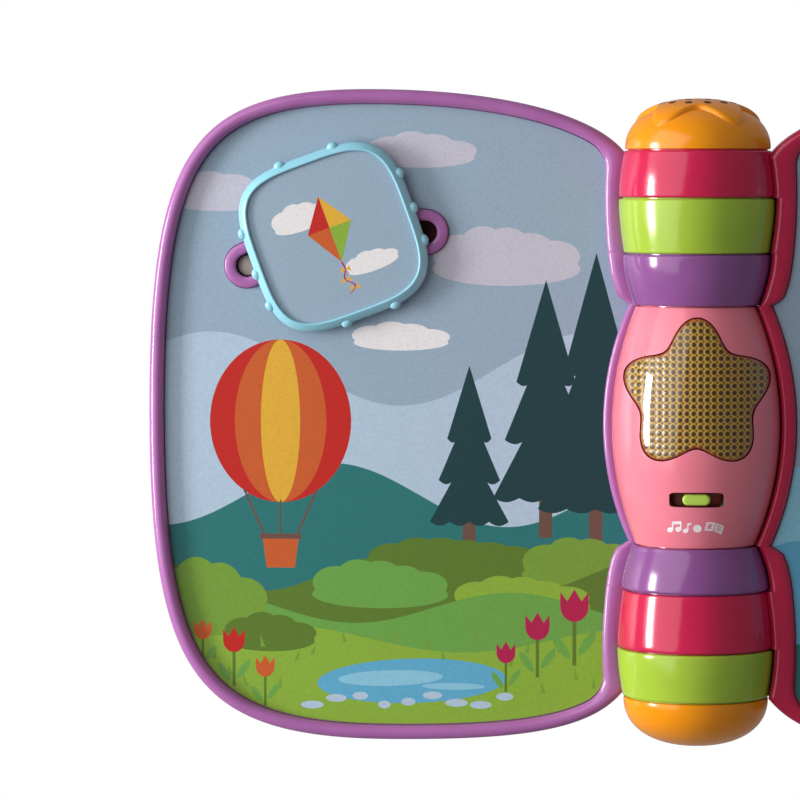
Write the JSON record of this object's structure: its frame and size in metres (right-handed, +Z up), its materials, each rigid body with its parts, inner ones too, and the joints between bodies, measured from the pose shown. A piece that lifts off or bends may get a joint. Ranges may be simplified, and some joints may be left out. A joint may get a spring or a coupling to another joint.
{
  "type": "sound book",
  "caption": "Toddler's sound book lying open: rounded boards and leaves with raised rims on a banded barrel spine with a star light, a mode switch and a sliding picture.",
  "frame": {"origin": "on the flattened underside of the spine, straight below the hinge axis and at mid length", "axes": "+X to the right over the base, +Y along the hinge axis to the top of the book, +Z up out of the open pages"},
  "size_m": [0.416, 0.2471, 0.0623],
  "materials": {
    "purple_shell": "gloss, injection moulded",
    "pink_housing": "gloss, injection moulded",
    "red_shell": "gloss, injection moulded",
    "green_shell": "gloss, injection moulded",
    "orange_cap": "gloss, injection moulded",
    "amber_lens": "clear tinted, gloss, bumped from inside",
    "cyan_bezel": "gloss, injection moulded",
    "white_plastic": "satin, unpainted",
    "print_card": "printed and laminated",
    "dark_backing": "printed dark red",
    "circuit_board": "resin board with solder mask",
    "cell_sleeve": "sleeved steel can",
    "spring_steel": "nickel plated strip",
    "speaker_black": "black lacquer and paper cone"
  },
  "bodies": {
    "base": {"base_back_shell": "purple_shell", "base_front_shell": "purple_shell", "base_print": "print_card", "battery_door": "purple_shell", "cell_1": "cell_sleeve", "cell_2": "cell_sleeve", "cell_3": "cell_sleeve", "contact_top": "spring_steel", "contact_bottom": "spring_steel", "main_board": "circuit_board", "spine_front_shell": "pink_housing", "spine_back_shell": "pink_housing", "light_board": "circuit_board", "hinge_tube_top": "white_plastic", "hinge_tube_bottom": "white_plastic", "top_cap": "orange_cap", "bottom_cap": "orange_cap", "speaker": "speaker_black"},
    "cover": {"cover_front_shell": "purple_shell", "cover_back_shell": "purple_shell", "cover_print": "print_card", "slot_backing": "dark_backing"},
    "picture": {"picture_bezel": "cyan_bezel", "picture_card": "print_card", "picture_retainer": "white_plastic"},
    "leaf_a": {"leaf_a_frame": "red_shell", "leaf_a_front_print": "print_card", "leaf_a_back_print": "print_card"},
    "leaf_b": {"leaf_b_frame": "green_shell", "leaf_b_front_print": "print_card", "leaf_b_back_print": "print_card"},
    "star": {"star_lens": "amber_lens"},
    "knob": {"mode_knob": "green_shell"}
  },
  "joints": [
    {"name": "cover_hinge", "type": "hinge", "parent": "base", "child": "cover", "pos_m": [0, 0, 0.0304], "axis": [0, 1, 0], "range_deg": [0, 180]},
    {"name": "leaf_a_hinge", "type": "hinge", "parent": "base", "child": "leaf_a", "pos_m": [0, 0, 0.0304], "axis": [0, -1, 0], "range_deg": [0, 180]},
    {"name": "leaf_b_hinge", "type": "hinge", "parent": "base", "child": "leaf_b", "pos_m": [0, 0, 0.0304], "axis": [0, -1, 0], "range_deg": [0, 180]},
    {"name": "picture_slide", "type": "hinge", "parent": "cover", "child": "picture", "pos_m": [-0.113, -0.0607, 0], "axis": [0, 0, 1], "range_deg": [-9, 9]},
    {"name": "star_press", "type": "slide", "parent": "base", "child": "star", "axis": [0, 0, -1], "range_m": [0, 0.002], "stiffness_N_per_m": 800, "springref_m": -0.0005},
    {"name": "mode_slide", "type": "slide", "parent": "base", "child": "knob", "axis": [1, 0, 0], "range_m": [-0.0035, 0.0035]}
  ],
  "couplings": [
    {"joint": "leaf_b_hinge", "follows": "leaf_a_hinge", "ratio": 1}
  ]
}
